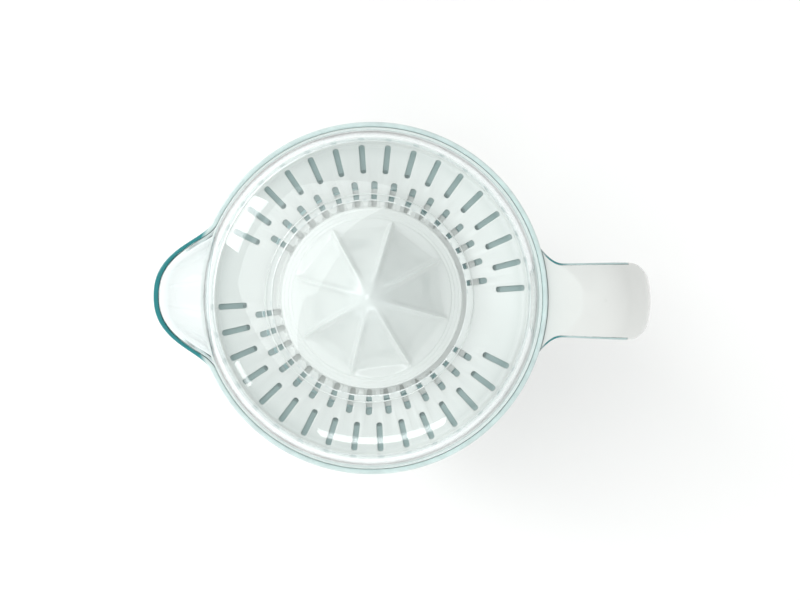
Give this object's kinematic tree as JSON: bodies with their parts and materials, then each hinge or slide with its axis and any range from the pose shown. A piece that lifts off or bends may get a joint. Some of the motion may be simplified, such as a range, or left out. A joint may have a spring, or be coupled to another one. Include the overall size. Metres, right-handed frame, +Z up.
{
  "type": "citrus press",
  "caption": "Electric citrus press: motor base, lift-off clear jug with spout and handle, slotted strainer with pulp ring, ribbed cone and clear lid.",
  "frame": {"origin": "on the cone's spin axis, on the surface the press stands on, under the middle of the base plate", "axes": "+Z up along the spin axis, +X along the handle with the spout at -X, +Y to the rear where the mains cord enters"},
  "size_m": [0.2254, 0.155, 0.2135],
  "materials": {
    "clear_plastic": "clear moulded SAN with a light blue-green tint, polished",
    "white_plastic": "white moulded ABS, glossy",
    "housing_plastic": "white moulded ABS, fine satin",
    "grey_plastic": "light grey moulded polypropylene, satin",
    "rubber": "grey rubber, matte",
    "black_plastic": "black moulded PVC, satin",
    "natural_acetal": "unfilled acetal, satin",
    "steel": "turned steel, zinc plated",
    "lamination": "stack of stamped electrical steel sheets",
    "copper": "enamelled copper wire, wound",
    "bronze": "sintered bronze, oiled",
    "magnet": "pressed ferrite, matte"
  },
  "bodies": {
    "base": {"base_housing": "housing_plastic", "base_plate": "grey_plastic", "foot_1": "rubber", "foot_2": "rubber", "foot_3": "rubber", "foot_4": "rubber", "plate_screw_1": "steel", "plate_screw_2": "steel", "plate_screw_3": "steel", "plate_screw_4": "steel", "cord_gland": "black_plastic", "spindle_bush": "bronze", "spindle_seal": "rubber", "axle_1": "steel", "axle_2": "steel", "gear_plate": "grey_plastic", "gear_cover": "grey_plastic", "gearbox_screw_1": "steel", "gearbox_screw_2": "steel", "gearbox_screw_3": "steel", "gearbox_screw_4": "steel", "return_spring": "steel", "switch_body": "black_plastic", "stator_core": "lamination", "motor_screw_1": "steel", "motor_screw_2": "steel", "coil_bobbin_1": "natural_acetal", "coil_bobbin_2": "natural_acetal", "coil_winding_1": "copper", "coil_winding_2": "copper", "rotor_bush_upper": "bronze", "rotor_bush_lower": "bronze", "rotor_bracket": "steel", "lead_gland_to_switch": "black_plastic", "lead_switch_to_coil": "black_plastic"},
    "rotor": {"rotor_magnet": "magnet", "rotor_shaft": "steel", "rotor_pinion": "steel"},
    "gear_1": {"gear_1": "natural_acetal"},
    "gear_2": {"gear_2": "natural_acetal"},
    "thrust_cup": {"thrust_cup": "natural_acetal"},
    "switch_plunger": {"switch_plunger": "natural_acetal"},
    "spindle": {"output_gear": "natural_acetal", "output_spindle": "steel"},
    "drive_shaft": {"drive_shaft": "white_plastic"},
    "cone": {"cone": "white_plastic"},
    "jug": {"jug": "clear_plastic", "handle_cover": "white_plastic"},
    "strainer": {"strainer": "white_plastic"},
    "pulp_ring": {"pulp_ring": "white_plastic"},
    "lid": {"lid": "clear_plastic"}
  },
  "joints": [
    {"name": "cone_press", "type": "slide", "parent": "base", "child": "thrust_cup", "axis": [0, 0, 1], "range_m": [-0.0025, 0], "stiffness_N_per_m": 1000, "springref_m": 0.005, "deforming": ["return_spring"]},
    {"name": "drive_spin", "type": "hinge", "parent": "thrust_cup", "child": "spindle", "pos_m": [0, 0, 0.06], "axis": [0, 0, 1], "continuous": true},
    {"name": "rotor_spin", "type": "hinge", "parent": "base", "child": "rotor", "pos_m": [-0.022, 0, 0.03], "axis": [0, 0, 1], "continuous": true},
    {"name": "gear_1_spin", "type": "hinge", "parent": "base", "child": "gear_1", "pos_m": [-0.02747, 0.01503, 0.05], "axis": [0, 0, 1], "continuous": true},
    {"name": "gear_2_spin", "type": "hinge", "parent": "base", "child": "gear_2", "pos_m": [-0.0104, 0.02546, 0.056], "axis": [0, 0, 1], "continuous": true},
    {"name": "switch_press", "type": "slide", "parent": "base", "child": "switch_plunger", "axis": [0, 0, 1], "range_m": [-0.0025, 0]},
    {"name": "jug_lift", "type": "slide", "parent": "base", "child": "jug", "axis": [0, 0, 1], "range_m": [0, 0.11]},
    {"name": "drive_shaft_lift", "type": "slide", "parent": "spindle", "child": "drive_shaft", "axis": [0, 0, 1], "range_m": [0, 0.11]},
    {"name": "strainer_lift", "type": "slide", "parent": "jug", "child": "strainer", "axis": [0, 0, 1], "range_m": [0, 0.07]},
    {"name": "cone_lift", "type": "slide", "parent": "drive_shaft", "child": "cone", "axis": [0, 0, 1], "range_m": [0, 0.07]},
    {"name": "pulp_ring_turn", "type": "hinge", "parent": "strainer", "child": "pulp_ring", "pos_m": [0, 0, 0.16], "axis": [0, 0, 1], "range_deg": [-5, 0]},
    {"name": "lid_lift", "type": "slide", "parent": "strainer", "child": "lid", "axis": [0, 0, 1], "range_m": [0, 0.08]}
  ],
  "couplings": [
    {"joint": "rotor_spin", "follows": "drive_spin", "ratio": -32},
    {"joint": "gear_1_spin", "follows": "drive_spin", "ratio": 8},
    {"joint": "gear_2_spin", "follows": "drive_spin", "ratio": -2.6667},
    {"joint": "switch_press", "follows": "cone_press", "ratio": 1},
    {"joint": "drive_shaft_lift", "follows": "jug_lift", "ratio": 1},
    {"joint": "cone_lift", "follows": "strainer_lift", "ratio": 1}
  ]
}
